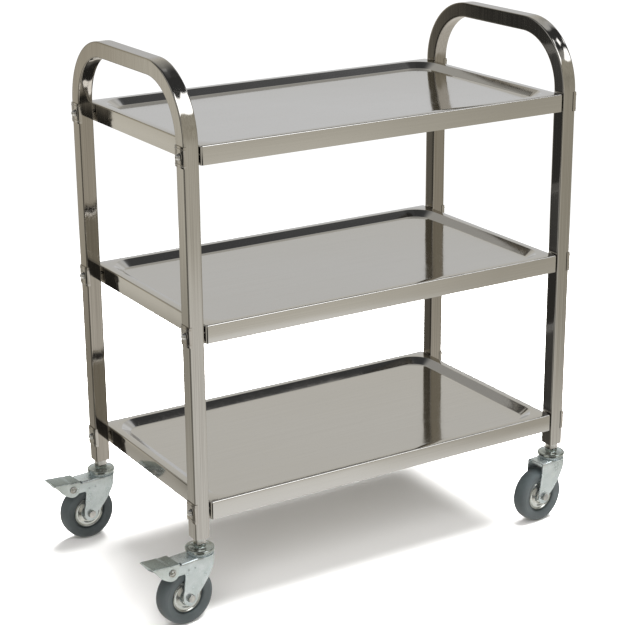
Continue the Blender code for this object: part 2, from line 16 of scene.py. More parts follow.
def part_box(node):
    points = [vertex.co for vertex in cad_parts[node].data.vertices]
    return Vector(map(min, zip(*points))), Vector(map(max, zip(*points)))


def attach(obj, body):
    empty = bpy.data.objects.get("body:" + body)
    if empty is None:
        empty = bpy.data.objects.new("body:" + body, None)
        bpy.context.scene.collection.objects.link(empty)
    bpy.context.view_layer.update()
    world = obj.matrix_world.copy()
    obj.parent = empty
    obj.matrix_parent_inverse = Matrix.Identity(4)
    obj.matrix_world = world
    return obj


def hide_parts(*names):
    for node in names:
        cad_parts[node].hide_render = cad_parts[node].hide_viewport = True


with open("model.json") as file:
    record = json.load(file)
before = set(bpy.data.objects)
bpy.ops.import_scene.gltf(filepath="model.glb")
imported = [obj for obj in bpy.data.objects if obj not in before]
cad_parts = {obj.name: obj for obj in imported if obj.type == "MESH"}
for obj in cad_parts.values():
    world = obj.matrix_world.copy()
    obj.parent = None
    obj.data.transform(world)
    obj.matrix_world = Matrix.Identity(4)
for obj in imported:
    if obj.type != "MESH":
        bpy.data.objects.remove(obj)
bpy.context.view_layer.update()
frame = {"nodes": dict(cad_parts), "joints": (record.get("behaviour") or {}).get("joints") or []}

# ---------------------------------------------------------------- dimensions
ROOT_BODY = "trolley_frame"
LEVELS = ("bottom", "middle", "top")
BRAKED = {"front_left": True, "rear_left": True, "front_right": False, "rear_right": False}
JOINTS = {joint["name"]: joint for joint in frame["joints"]}

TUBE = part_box("end_frame_left")[1].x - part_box("end_frame_left")[0].x
TUBE_WALL = 0.0012
TUBE_CORNER = 0.0028          # from a side of the tube to where the next side is flat
ROUNDING = 18                 # power of the tube's section: higher has tighter corners
# places of the section's points on an eighth of a turn, closest together at the corner
EIGHTH = (0.0, 0.35, 0.58, 0.70, 0.78, 0.84, 0.885, 0.92, 0.947, 0.967, 0.984, 1.0)
BEND_RADIUS = 0.1203          # to the outside of the tube
BEND_STEPS = 36
BEND_SINK = 0.0006            # how far the outer wall sinks in a bend
BEND_RISE = 0.0008            # how far the inner wall rises there
BEND_RIPPLE = 0.00012         # height of the wrinkles on the inner wall
BEND_RIPPLES = 9              # how many half waves of them a bend has
WELD = 1e-7                   # points closer than this are one point

SHEET = 0.0012
SHELF_CORNER = 0.004
SHELF_EDGE = 0.0026           # radius of the fold from rim to flange
BORDER = 0.0135               # flat rim outside the recess
RECESS_DEPTH = 0.010
RECESS_SLOPE = 0.018          # how far the recess's wall reaches inwards
RECESS_SHOULDER = 0.0018      # radii at the top and the foot of that wall
RECESS_FOOT = 0.0032
RECESS_CORNER = 0.045
BOLT_DROP = 0.016             # from a shelf's top down to its bolts
SADDLE_HEIGHT = 0.034

CLEARANCE = 0.0003
FORK_HALF_WIDTH = 0.0192
FORK_SHEET = 0.0022
CROWN_TOP = 0.117
RACE_TOP = 0.1215
HEAD_RADIUS = 0.025
NECK_BOTTOM = 0.134
SOCKET_NECK = 0.0175
AXLE_HOLE = 0.0043
RIVET_HOLE = 0.0029
MARK_HOLE = 0.0013
CUT_PAST = 0.001              # how far the notches' cutters reach past the plates
CUT_REACH = 0.05              # how far other cutters along Y reach, past the whole fork
HUB_RADIUS = 0.0285
PEDAL_SHEET = 0.0016
PEDAL_TIP = 0.0363            # from the pedal's pivot


# ---------------------------------------------------------------- node materials
class Nodes:
    """A short way to add and join shader nodes."""

    def __init__(self, tree):
        self.tree = tree

    def fill(self, node, inputs):
        """Set sockets, by name or number, each to a value or from another node's socket."""
        for key, value in inputs.items():
            if isinstance(value, bpy.types.NodeSocket):
                self.tree.links.new(value, node.inputs[key])
            else:
                node.inputs[key].default_value = value

    def add(self, kind, inputs=None, **settings):
        """One node with its settings and sockets filled in."""
        node = self.tree.nodes.new(kind)
        for key, value in settings.items():
            setattr(node, key, value)
        self.fill(node, inputs or {})
        return node

    def object_coords(self):
        """Where a point is on its object, in metres."""
        return self.add("ShaderNodeTexCoord").outputs["Object"]

    def axis(self, vector, letter):
        """One component of a vector."""
        return self.add("ShaderNodeSeparateXYZ", {0: vector}).outputs[letter]

    def stretched(self, scale):
        """Object coordinates scaled by a different amount on each axis."""
        inputs = {"Vector": self.object_coords(), "Scale": scale}
        return self.add("ShaderNodeMapping", inputs).outputs[0]

    def noise(self, vector, scale, detail, roughness=0.5):
        """A noise value from 0 to 1."""
        node = self.add("ShaderNodeTexNoise", {"Vector": vector, "Scale": scale,
                                               "Detail": detail, "Roughness": roughness})
        return node.outputs["Fac"]

    def remap(self, value, low, high, start=0.3, end=0.7):
        """A value from start..end moved to low..high."""
        node = self.add("ShaderNodeMapRange", {"Value": value, "From Min": start,
                                               "From Max": end, "To Min": low, "To Max": high})
        return node.outputs[0]

    def calculate(self, operation, first, second=0.0):
        """The result of a sum, product or function."""
        return self.add("ShaderNodeMath", {0: first, 1: second}, operation=operation).outputs[0]

    def mix(self, factor, first, second, blend_type="MIX"):
        """A colour between two, or their blend by another type."""
        node = self.add("ShaderNodeMix", {"Factor": factor, 6: first, 7: second},
                        data_type="RGBA", blend_type=blend_type)
        return node.outputs[2]

    def bump(self, height, strength, distance, normal=None):
        """A bump from a height value, on top of another normal if there is one."""
        inputs = {"Height": height, "Strength": strength, "Distance": distance}
        if normal is not None:
            inputs["Normal"] = normal
        return self.add("ShaderNodeBump", inputs).outputs[0]


EVEN = (1, 1, 1)
FINE_GRAIN = (400, 400, 400)
LEG_GRAIN = (700, 700, 4)
LONG_GRAIN = (4, 700, 700)
# colour that darkens the steel behind a plane of Y: painted shade on the rear legs
SHADED_STEEL = (0.74, 0.71, 0.67)


def opaque(colour):
    """A colour with its alpha."""
    return (*colour, 1.0)


def new_material(name):
    """An empty Principled material: (material, node helper, shader)."""
    material = bpy.data.materials.new(name)
    material.use_nodes = True
    return material, Nodes(material.node_tree), material.node_tree.nodes["Principled BSDF"]


def metal(name, dark, light, roughness, grain, grain_bump=0.05, wave=0.0, smudge=0.05,
          shaded_behind=None):
    """Rolled or polished steel: streaks along its grain, faint smudges and a slow waviness.

    grain is the streaks' density on each axis, low along the grain. Behind the plane
    Y = shaded_behind the colour is darkened, so the steel mirrors less there: this is painted
    shade on the rear legs.
    """
    material, nodes, shader = new_material(name)
    streaks = nodes.noise(nodes.stretched(grain), scale=1.0, detail=4.0, roughness=0.6)
    smudges = nodes.noise(nodes.stretched(EVEN), scale=22.0, detail=4.0)
    tint = nodes.mix(nodes.remap(streaks, 0.0, 1.0), opaque(dark), opaque(light))
    # painted shade: behind this plane of Y the steel's colour is darkened, which makes the rear
    # legs darker
    if shaded_behind is not None:
        fade = 0.1
        depth = nodes.axis(nodes.object_coords(), "Y")
        painted_shade = nodes.remap(depth, 0.0, 1.0, start=shaded_behind - fade, end=shaded_behind + fade)
        tint = nodes.mix(painted_shade, tint, opaque(SHADED_STEEL), "MULTIPLY")
    streak_roughness = nodes.remap(streaks, low=-0.03, high=0.03)
    smudge_roughness = nodes.remap(smudges, roughness - smudge / 2, roughness + smudge)
    normal = nodes.bump(streaks, grain_bump, distance=0.0002)
    if wave:
        slow = nodes.noise(nodes.stretched(EVEN), scale=9.0, detail=1.0)
        normal = nodes.bump(slow, wave, distance=0.002, normal=normal)
    nodes.fill(shader, {"Metallic": 1.0, "Base Color": tint, "Normal": normal,
                        "Roughness": nodes.calculate("ADD", streak_roughness, smudge_roughness)})
    return material


def zinc(name, dark, light, roughness, metallic=1.0, upward_shade=None):
    """Bright zinc plate: a slightly blue coat with soft clouds and fine grain.

    Faces that look up are darkened towards worn times their colour: painted shade, for the darker
    top of the foot plate.
    """
    material, nodes, shader = new_material(name)
    clouds = nodes.noise(nodes.stretched(EVEN), scale=70.0, detail=3.0)
    fine = nodes.noise(nodes.stretched(EVEN), scale=1400.0, detail=2.0)
    tint = nodes.mix(nodes.remap(clouds, 0.0, 1.0), opaque(dark), opaque(light))
    # painted shade: faces whose normal points up are darkened
    if upward_shade is not None:
        upward = nodes.axis(nodes.add("ShaderNodeTexCoord").outputs["Normal"], "Z")
        top_shade = nodes.remap(upward, 0.0, 1.0, start=0.5, end=0.9)
        tint = nodes.mix(top_shade, tint, opaque(upward_shade), "MULTIPLY")
    nodes.fill(shader, {"Metallic": metallic, "Base Color": tint,
                        "Roughness": nodes.remap(clouds, roughness + 0.03, roughness - 0.03),
                        "Normal": nodes.bump(fine, strength=0.04, distance=0.0001)})
    return material


def rubber(name, dark, light):
    """Matt rubber with dusty patches and a fine moulded grain."""
    material, nodes, shader = new_material(name)
    dust = nodes.noise(nodes.stretched(EVEN), scale=60.0, detail=5.0, roughness=0.65)
    grain = nodes.noise(nodes.stretched(EVEN), scale=1800.0, detail=2.0)
    tint = nodes.mix(nodes.remap(dust, 0.0, 1.0), opaque(dark), opaque(light))
    nodes.fill(shader, {"Base Color": tint,
                        "Roughness": nodes.remap(dust, low=0.48, high=0.66),
                        "Normal": nodes.bump(grain, strength=0.25, distance=0.0002)})
    return material


LOOKS = {
    "tube": metal("tube_steel_look", (0.45, 0.435, 0.41), (0.60, 0.59, 0.565), roughness=0.060,
                  grain=LEG_GRAIN, grain_bump=0.02, wave=0.06, smudge=0.03, shaded_behind=0.0),
    "shelf": metal("shelf_steel_look", (0.645, 0.64, 0.63), (0.685, 0.68, 0.67),
                   roughness=0.075, grain=LONG_GRAIN, grain_bump=0.006, wave=0.16, smudge=0.03),
    "saddle": metal("saddle_steel_look", (0.47, 0.45, 0.42), (0.57, 0.55, 0.52),
                    roughness=0.10, grain=LEG_GRAIN),
    "bolt": metal("bolt_chrome_look", (0.58, 0.58, 0.58), (0.74, 0.74, 0.73),
                  roughness=0.06, grain=FINE_GRAIN),
    "socket": metal("socket_steel_look", (0.50, 0.49, 0.47), (0.64, 0.63, 0.61),
                    roughness=0.20, grain=LEG_GRAIN),
    "zinc": zinc("caster_zinc_look", (0.50, 0.56, 0.57), (0.58, 0.63, 0.64),
                 roughness=0.25, metallic=0.85),
    "cup": zinc("swivel_cup_look", (0.43, 0.48, 0.47), (0.53, 0.58, 0.57), roughness=0.13),
    "hub": zinc("hub_zinc_look", (0.52, 0.55, 0.54), (0.64, 0.66, 0.64),
                roughness=0.16, metallic=0.92),
    # the pedal's upward faces carry painted shade
    "pedal": zinc("pedal_zinc_look", (0.50, 0.555, 0.55), (0.57, 0.62, 0.615),
                  roughness=0.25, metallic=0.85, upward_shade=(0.43, 0.45, 0.43)),
    "axle": zinc("axle_steel_look", (0.40, 0.41, 0.40), (0.60, 0.60, 0.58), roughness=0.18),
    "rubber": rubber("tyre_rubber_look", (0.040, 0.050, 0.053), (0.056, 0.067, 0.070)),
}


# ---------------------------------------------------------------- mesh helpers
def arc(centre, radius, start, end, steps):
    """Points along an arc, angles in degrees, both ends included."""
    angles = [math.radians(start + (end - start) * i / steps) for i in range(steps + 1)]
    return [(centre[0] + radius * math.cos(a), centre[1] + radius * math.sin(a)) for a in angles]


def circle(radius, steps, centre=(0, 0)):
    """Points round a whole circle, the first of them not repeated."""
    return arc(centre, radius, 0, 360 * (steps - 1) / steps, steps - 1)


def rounded_rectangle(half_x, half_y, radius, steps):
    """Corner arcs of a rectangle, counter-clockwise from the +X side."""
    points = []
    for quarter, (sx, sy) in enumerate(((1, 1), (-1, 1), (-1, -1), (1, -1))):
        centre = (sx * (half_x - radius), sy * (half_y - radius))
        points += arc(centre, radius, quarter * 90, quarter * 90 + 90, steps)
    return points


def mesh_from(bm, name, outward=True):
    """Turn a bmesh into a mesh, with its faces made to point out unless outward is false."""
    if outward:
        bmesh.ops.recalc_face_normals(bm, faces=bm.faces)
    mesh = bpy.data.meshes.new(name)
    bm.to_mesh(mesh)
    bm.free()
    return mesh


def face_up(bm, flat):
    """Turn all faces over if this one faces down."""
    flat.normal_update()
    if flat.normal.z < 0:
        bmesh.ops.reverse_faces(bm, faces=bm.faces)


def bridge(bm, rings, closed=True):
    """Faces between neighbouring rows of vertices, which are rings unless closed is false."""
    for lower, upper in zip(rings, rings[1:]):
        for i in range(0 if closed else 1, len(lower)):
            bm.faces.new((lower[i - 1], lower[i], upper[i], upper[i - 1]))


def lathe(name, profile, steps, axis="Z", closed=False):
    """Turn a profile of (radius, height) points about an axis."""
    bm = bmesh.new()
    rings = []
    for radius, height in profile:
        outline = circle(radius, steps) if radius > WELD else [(0, 0)]
        rings.append([bm.verts.new((x, y, height)) for x, y in outline])
    pairs = list(zip(rings, rings[1:]))
    if closed:
        pairs.append((rings[-1], rings[0]))
    for lower, upper in pairs:
        for i in range(steps):
            if len(lower) == 1:
                bm.faces.new((lower[0], upper[i], upper[i - 1]))
            elif len(upper) == 1:
                bm.faces.new((lower[i - 1], lower[i], upper[0]))
            else:
                bm.faces.new((lower[i - 1], lower[i], upper[i], upper[i - 1]))
    mesh = mesh_from(bm, name)
    if axis != "Z":
        mesh.transform(Matrix.Rotation(math.radians(90), 4, {"Y": "X", "X": "Y"}[axis]))
    return mesh


def prism(name, outline, low, high, axis="Z"):
    """A closed outline pushed from low to high along Z or Y."""
    bm = bmesh.new()
    rings = [[bm.verts.new((u, v, level)) for u, v in outline] for level in (low, high)]
    bridge(bm, rings)
    for ring in rings:
        bm.faces.new(ring)
    mesh = mesh_from(bm, name)
    if axis == "Y":
        # (u, v, level) becomes (u, level, v)
        mesh.transform(Matrix(((1, 0, 0, 0), (0, 0, 1, 0), (0, 1, 0, 0), (0, 0, 0, 1))))
        mesh.flip_normals()
    return mesh


def baked(mesh, kind, settings):
    """A mesh with one modifier applied."""
    source = bpy.data.objects.new("blank", mesh)
    bpy.context.scene.collection.objects.link(source)
    modifier = source.modifiers.new(kind.lower(), kind)
    for key, value in settings.items():
        setattr(modifier, key, value)
    depsgraph = bpy.context.evaluated_depsgraph_get()
    depsgraph.update()
    result = bpy.data.meshes.new_from_object(source.evaluated_get(depsgraph))
    bpy.data.objects.remove(source, do_unlink=True)
    return result


def thickened(mesh, thickness):
    """A surface made into sheet, on the side away from its normals."""
    return baked(mesh, "SOLIDIFY", {"thickness": thickness, "offset": -1.0,
                                    "use_even_offset": True})


def combined(mesh, others, operation):
    """Boolean a mesh with several others, one after another."""
    for other in others:
        tool = bpy.data.objects.new("tool", other)
        bpy.context.scene.collection.objects.link(tool)
        mesh = baked(mesh, "BOOLEAN", {"operation": operation, "object": tool, "solver": "EXACT"})
        bpy.data.objects.remove(tool, do_unlink=True)
    return mesh


def chamfered(mesh, width, angle):
    """Cut off every edge sharper than an angle in degrees."""
    return baked(mesh, "BEVEL", {"width": width, "segments": 1, "limit_method": "ANGLE",
                                 "angle_limit": math.radians(angle), "harden_normals": False})


def add_piece(name, mesh, look, body, node, matrix=None, smooth=32):
    """One finished piece that stands for a CAD node and rides on its body.

    matrix moves it to its place, and edges below smooth degrees are shaded as round.
    """
    mesh.materials.clear()
    mesh.materials.append(LOOKS[look])
    mesh.shade_smooth()
    mesh.set_sharp_from_angle(angle=math.radians(smooth))
    if matrix is not None:
        mesh.transform(matrix)
    piece = bpy.data.objects.new(name, mesh)
    bpy.context.scene.collection.objects.link(piece)
    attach(piece, body)
    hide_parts(node)


# ---------------------------------------------------------------- end frames
def section_point(px, py, station):
    """A point of the tube's section; in a bend its outer wall sinks and its inner one wrinkles.

    station is how far along its bend the section is, from 0 to 1, or None on a straight.
    """
    if station is None:
        return px, py
    flat = TUBE / 2 - TUBE_CORNER
    swell = math.sin(math.pi * station)
    on_flat = max(0.0, 1 - abs(px) / flat)
    if py > flat:
        return px, py - BEND_SINK * swell * on_flat
    if py < -flat:
        ripple = BEND_RIPPLE * math.sin(station * math.pi * BEND_RIPPLES)
        return px, py + (BEND_RISE + ripple) * swell * on_flat
    return px, py


def section(offset):
    """Section of the tube moved in by offset: flats that ease into round corners.

    It is a superellipse, as rolled tube has no sharp line between a flat and its corner.
    """
    half = TUBE / 2 - offset
    eighth = [45 * share for share in EIGHTH]
    quarter = eighth + [90 - angle for angle in eighth[-2:0:-1]]
    points = []
    for turn in range(4):
        for angle in quarter:
            x, y = math.cos(math.radians(angle)), math.sin(math.radians(angle))
            reach = half / (x ** ROUNDING + y ** ROUNDING) ** (1 / ROUNDING)
            x, y = x * reach, y * reach
            points.append(((x, y), (-y, x), (-x, -y), (y, -x))[turn])
    return points


def frame_path(half_width, foot, top):
    """Centreline of an end frame: (y, z, outward direction, station on its bend or None)."""
    centre_radius = BEND_RADIUS - TUBE / 2
    leg = half_width - TUBE / 2
    centre_y, centre_z = leg - centre_radius, top - BEND_RADIUS
    stations = [(-leg, foot, (-1, 0), None), (-leg, centre_z, (-1, 0), None)]
    for side, start, end in ((-1, 180, 90), (1, 90, 0)):
        for step in range(BEND_STEPS + 1):
            angle = math.radians(start + (end - start) * step / BEND_STEPS)
            out = (math.cos(angle), math.sin(angle))
            stations.append((side * centre_y + centre_radius * out[0],
                             centre_z + centre_radius * out[1], out, step / BEND_STEPS))
    stations += [(leg, centre_z, (1, 0), None), (leg, foot, (1, 0), None)]
    return stations


def end_frame_mesh(name, low, high):
    """One inverted U of square tube with its wall showing at the open feet."""
    x, y = (low.x + high.x) / 2, (low.y + high.y) / 2
    path = frame_path((high.y - low.y) / 2, low.z, high.z)
    bm = bmesh.new()
    shells = []
    for offset in (0.0, TUBE_WALL):
        outline = section(offset)
        rings = []
        for path_y, path_z, out, station in path:
            ring = []
            for point in outline:
                px, py = section_point(*point, station)
                ring.append(bm.verts.new((x + px, y + path_y + py * out[0],
                                          path_z + py * out[1])))
            rings.append(ring)
        bridge(bm, rings)
        shells.append(rings)
    outer, inner = shells
    for end in (0, -1):
        bridge(bm, [outer[end], inner[end]])
    bmesh.ops.remove_doubles(bm, verts=bm.verts, dist=WELD)
    return mesh_from(bm, name)


FRAMES = {}
for side in ("left", "right"):
    low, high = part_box(f"end_frame_{side}")
    FRAMES[side] = (low, high)
    add_piece(f"{side}_end_frame", end_frame_mesh(f"{side}_end_frame", low, high), "tube",
              ROOT_BODY, f"end_frame_{side}", smooth=40)
lowest, highest = FRAMES["left"][0], FRAMES["right"][1]
MIDDLE = Vector(((lowest.x + highest.x) / 2, (lowest.y + highest.y) / 2, 0))


# ---------------------------------------------------------------- shelves
def shelf_rings(half_x, half_y, depth):
    """(half length, half width, corner radius, height) from flange foot to recess floor."""
    rings = [(half_x, half_y, SHELF_CORNER, -depth)]
    for x, z in arc((-SHELF_EDGE, -SHELF_EDGE), SHELF_EDGE, 0, 90, steps=5):
        rings.append((half_x + x, half_y + x, max(SHELF_CORNER + x, 0.001), z))
    inner_x, inner_y = half_x - BORDER, half_y - BORDER
    # the wall: a rounded shoulder and a rounded foot, joined by the slope that touches both
    both = RECESS_SHOULDER + RECESS_FOOT
    drop = RECESS_DEPTH - both
    slope = math.degrees(math.atan2(drop, RECESS_SLOPE)
                         + math.asin(both / math.hypot(drop, RECESS_SLOPE)))
    wall = arc((0, -RECESS_SHOULDER), RECESS_SHOULDER, 90, 90 - slope, steps=5)
    wall += arc((RECESS_SLOPE, RECESS_FOOT - RECESS_DEPTH), RECESS_FOOT, 270 - slope, 270,
                steps=6)
    for x, z in wall:
        rings.append((inner_x - x, inner_y - x, RECESS_CORNER - x, z))
    return rings


def shelf_mesh(name, low, high):
    """Pressed tray shelf with flanges, flat rim and a sunken floor, in its place."""
    centre = (low + high) / 2
    bm = bmesh.new()
    rings = []
    for half_x, half_y, radius, z in shelf_rings((high.x - low.x) / 2, (high.y - low.y) / 2,
                                                 high.z - low.z):
        outline = rounded_rectangle(half_x, half_y, radius, steps=12)
        rings.append([bm.verts.new((centre.x + px, centre.y + py, high.z + z))
                      for px, py in outline])
    bridge(bm, rings)
    bm.faces.new(rings[-1])
    return thickened(mesh_from(bm, name), SHEET)


for level in LEVELS:
    low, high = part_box(f"shelf_{level}")
    add_piece(f"{level}_shelf", shelf_mesh(f"{level}_shelf", low, high), "shelf", ROOT_BODY,
              f"shelf_{level}", smooth=38)


# ---------------------------------------------------------------- saddles and shelf bolts
def saddle_mesh():
    """Pressed channel with a ridge near each end. X points away from the leg."""
    proud, bulge, back = 0.0012, 0.0006, 0.0003
    half_y, side, lip = TUBE / 2 + 0.0011, 0.0008, 0.0050
    corner, cut = 0.0008, 0.0002
    # (height, how far the ridge rises there)
    upper = [(0.0110, 0.0), (0.0118, bulge), (0.0130, bulge), (0.0138, 0.0),
             (SADDLE_HEIGHT / 2, 0.0)]
    lower = [(-z, rise) for z, rise in reversed(upper)]
    bm = bmesh.new()
    rings = []
    for z, rise in lower + upper:
        x = proud + rise
        outline = [(-lip, half_y), (x - corner, half_y), (x - cut, half_y - cut),
                   (x, half_y - corner), (x, -half_y + corner), (x - cut, -half_y + cut),
                   (x - corner, -half_y), (-lip, -half_y), (-lip, -half_y + side),
                   (back, -half_y + side), (back, half_y - side), (-lip, half_y - side)]
        rings.append([bm.verts.new((u, v, z)) for u, v in outline])
    bridge(bm, rings)
    for ring in (rings[0], rings[-1]):
        bm.faces.new(ring)
    return mesh_from(bm, "saddle")


def shelf_bolt_mesh(tip, reach):
    """Domed cap on a thin flange, and the shank that runs through the leg to the shelf."""
    base, brim, shank, chamfer = 0.0020, 0.0010, 0.0030, 0.0006
    dome = arc((0, 0), 1.0, 90, 0, steps=10)
    profile = [(0.0052 * u, base + brim + (tip - base - brim) * v) for u, v in dome]
    profile += [(0.0060, base + brim), (0.0062, base + 0.0006), (0.0062, base), (shank, base),
                (shank, -reach + chamfer), (shank - chamfer, -reach), (0.0, -reach)]
    return lathe("shelf_bolt", profile, steps=40, axis="X")


def leg_face(place, z):
    """Middle of a leg's outer face at a height, and the side (-1 or 1) it is on."""
    side = -1 if place.endswith("left") else 1
    low, high = FRAMES["left" if side < 0 else "right"]
    y = low.y + TUBE / 2 if place.startswith("front") else high.y - TUBE / 2
    return Vector(((low.x + high.x) / 2 + side * TUBE / 2, y, z)), side


for level in LEVELS:
    shelf_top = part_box(f"shelf_{level}")[1].z
    for place in BRAKED:
        spot, side = leg_face(place, shelf_top - BOLT_DROP)
        matrix = Matrix.Translation(spot) @ Matrix.Rotation(0 if side > 0 else math.pi, 4, "Z")
        add_piece(f"saddle_plate_{level}_{place}", saddle_mesh(), "saddle", ROOT_BODY,
                  f"saddle_{level}_{place}", matrix)
        bolt_low, bolt_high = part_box(f"shelf_bolt_{level}_{place}")
        inner, outer = (bolt_low.x, bolt_high.x) if side > 0 else (bolt_high.x, bolt_low.x)
        bolt = shelf_bolt_mesh(abs(outer - spot.x), abs(inner - spot.x))
        add_piece(f"dome_bolt_{level}_{place}", bolt, "bolt", ROOT_BODY,
                  f"shelf_bolt_{level}_{place}", matrix)


# ---------------------------------------------------------------- casters, fixed parts
def socket_mesh(low, high):
    """Square insert with a narrower neck below the leg, bored for the stem."""
    half, neck = (high.x - low.x) / 2, SOCKET_NECK / 2
    foot = FRAMES["left"][0].z
    profile = [(neck - 0.0006, low.z), (neck, low.z + 0.0006), (neck, foot - 0.0008),
               (neck + 0.0004, foot + 0.0002), (half, foot + 0.0003), (half, high.z)]
    bm = bmesh.new()
    rings = []
    for size, z in profile:
        outline = rounded_rectangle(size, size, 0.0020, steps=4)
        rings.append([bm.verts.new((u, v, z)) for u, v in outline])
    bridge(bm, rings)
    for ring in (rings[0], rings[-1]):
        bm.faces.new(ring)
    past = 0.01
    bore = prism("bore", circle(0.0053, 36), low.z - past, high.z + past)
    return combined(mesh_from(bm, "socket"), [bore], "DIFFERENCE")


def cup_mesh():
    """Upper swivel cup with a rolled rim, its collar, stem and king pin."""
    neck = NECK_BOTTOM - CLEARANCE
    stem_radius, stem_top = 0.0050, 0.170
    stem = [(0.0, stem_top), (stem_radius, stem_top), (stem_radius, neck)]
    collar = [(0.0105, neck), (0.0112, NECK_BOTTOM - 0.0009)]
    top = [(0.0112, 0.1302), (0.0150, 0.1296), (0.0178, 0.1284), (0.0200, 0.1278)]
    roll = 0.0021
    rim = arc((HEAD_RADIUS - roll, 0.1258), roll, 90, 0, steps=6)
    rim += [(HEAD_RADIUS, 0.1232), (HEAD_RADIUS - 0.0006, RACE_TOP + 0.0009)]
    underside = CROWN_TOP - FORK_SHEET
    pin_radius, head_top, head_bottom = 0.0060, underside - CLEARANCE, underside - 0.0032
    pin = [(pin_radius, RACE_TOP + 0.0006), (pin_radius, head_top), (0.0100, head_top),
           (0.0096, underside - 0.0020), (0.0080, head_bottom), (0.0, head_bottom)]
    return lathe("swivel_cup", stem + collar + top + rim + pin, steps=72)


def race_mesh():
    """Lower race: a rounded ring that sits on the crown."""
    sunk = CROWN_TOP - FORK_SHEET / 2
    rim = arc((0.0215, 0.1200), 0.0013, 90, -60, steps=6)
    profile = [(0.0, RACE_TOP - 0.0002)] + rim + [(0.0212, sunk), (0.0, sunk)]
    return lathe("race", profile, steps=72)


# ---------------------------------------------------------------- casters, forks
def fork_outline(brake, trail, axle_height, pivot):
    """Side view of a fork plate as (distance behind the swivel axis, height)."""
    front = [(-0.0162, CROWN_TOP), (-0.0150, 0.1020), (-0.0120, 0.0925), (-0.0045, 0.0790),
             (0.0055, 0.0660), (0.0130, 0.0575)]
    boss = arc((trail, axle_height), 0.0135, 172, 368, steps=14)
    rear = [(0.0472, 0.0600), (0.0446, 0.0700), (0.0436, 0.0820)]
    if not brake:
        return front + boss + rear + [(0.0412, 0.0960), (0.0405, 0.1080), (0.0400, CROWN_TOP)]
    end = CROWN_TOP - pivot[1]
    arm = [(0.0425, 0.0930), (0.0445, pivot[1] - end), (pivot[0] + end, pivot[1] - end),
           (pivot[0] + end, CROWN_TOP)]
    return front + boss + rear + arm


def bent_channel(name, outline, half_width, sheet, bend):
    """A sheet bent to a U: two plates with this outline, joined along its last edge."""
    bm = bmesh.new()
    sides = []
    for sign in (-1, 1):
        sides.append([bm.verts.new((u, sign * half_width, z)) for u, z in outline])
        bm.faces.new(sides[-1])
    near, far = sides
    top = bm.faces.new((near[0], far[0], far[-1], near[-1]))
    bends = [edge for edge in top.edges if len(edge.link_faces) == 2]
    bmesh.ops.recalc_face_normals(bm, faces=bm.faces)
    face_up(bm, top)
    bmesh.ops.bevel(bm, geom=bends, offset=bend, segments=6, affect="EDGES", profile=0.5)
    return thickened(mesh_from(bm, name, outward=False), sheet)


def cross_hole(radius, u, z):
    """A cutter along Y."""
    return prism("hole", circle(radius, 24, (u, z)), -CUT_REACH, CUT_REACH, axis="Y")


def arm_end_cutter(pivot):
    """What is cut off the square end of the brake's arm to round it, along Y."""
    end, past = CROWN_TOP - pivot[1], 0.002
    low, high = pivot[1] - end - past, CROWN_TOP + past
    outer = pivot[0] + end + past
    outline = [(pivot[0], low), (outer, low), (outer, high), (pivot[0], high)]
    outline += arc(pivot, end, 90, -90, steps=18)
    return prism("arm_end", outline, -CUT_REACH, CUT_REACH, axis="Y")


def notch_cutters():
    """What cuts a small square notch into the rounded top edge of each plate."""
    depth, half = 0.0062, 0.0021
    square = rounded_rectangle(half, half, 0.0008, steps=3)
    outline = [(0.0505 + u, CROWN_TOP - 0.0008 + v) for u, v in square]
    inner, outer = FORK_HALF_WIDTH - depth - CUT_PAST, FORK_HALF_WIDTH + CUT_PAST
    return [prism("notch", outline, -outer, -inner, axis="Y"),
            prism("notch", outline, inner, outer, axis="Y")]


def fork_mesh(brake, trail, axle_height, pivot):
    """Pressed fork with its race, holes and the small notches of the braked one."""
    outline = fork_outline(brake, trail, axle_height, pivot)
    body = bent_channel("fork", outline, FORK_HALF_WIDTH, FORK_SHEET, bend=0.0042)
    inset = 0.0003
    disc = prism("disc", circle(0.0238, 72), CROWN_TOP - FORK_SHEET + inset, CROWN_TOP - inset)
    body = combined(body, [disc, race_mesh()], "UNION")
    cutters = [prism("king_hole", circle(0.0064, 36), 0.10, 0.13),
               cross_hole(AXLE_HOLE, trail, axle_height)]
    if brake:
        cutters += [arm_end_cutter(pivot), cross_hole(RIVET_HOLE, *pivot),
                    cross_hole(MARK_HOLE, 0.0230, 0.1020), cross_hole(MARK_HOLE, 0.0360, 0.1020)]
        cutters += notch_cutters()
    return combined(body, cutters, "DIFFERENCE")


# ---------------------------------------------------------------- casters, wheels
def tyre_mesh(radius):
    """Solid tyre with a rounded tread, a shoulder crease and a lip at its bead."""
    half = [(0.0287, 0.0066), (0.0301, 0.0066), (0.0306, 0.0092), (0.0310, 0.0112),
            (0.0322, 0.0124), (0.0345, 0.0134), (0.0385, 0.0146), (0.0420, 0.0153),
            (0.0434, 0.0155), (0.0441, 0.0151), (0.0447, 0.0149), (0.0455, 0.0147),
            (0.0468, 0.0139), (0.0480, 0.0124), (0.0489, 0.0102), (0.0495, 0.0074),
            (0.0499, 0.0040)]
    profile = half + [(radius, 0.0)] + [(r, -y) for r, y in reversed(half)]
    return lathe("tyre", profile, steps=112, axis="Y", closed=True)


def hub_mesh():
    """Stamped hub: rolled rim, dished disc with a raised ring, and the bearing cup."""
    half = [(0.0043, 0.0162), (0.0072, 0.0162), (0.0084, 0.0156), (0.0090, 0.0146),
            (0.0094, 0.0122), (0.0104, 0.0110), (0.0126, 0.0104), (0.0142, 0.0106),
            (0.0154, 0.0115), (0.0172, 0.0116), (0.0186, 0.0107), (0.0208, 0.0088),
            (0.0238, 0.0080), (0.0256, 0.0084), (0.0268, 0.0098), (0.0277, 0.0102),
            (HUB_RADIUS, 0.0096), (HUB_RADIUS, 0.0060)]
    profile = half + [(r, -y) for r, y in reversed(half)]
    return lathe("hub", profile, steps=72, axis="Y", closed=True)


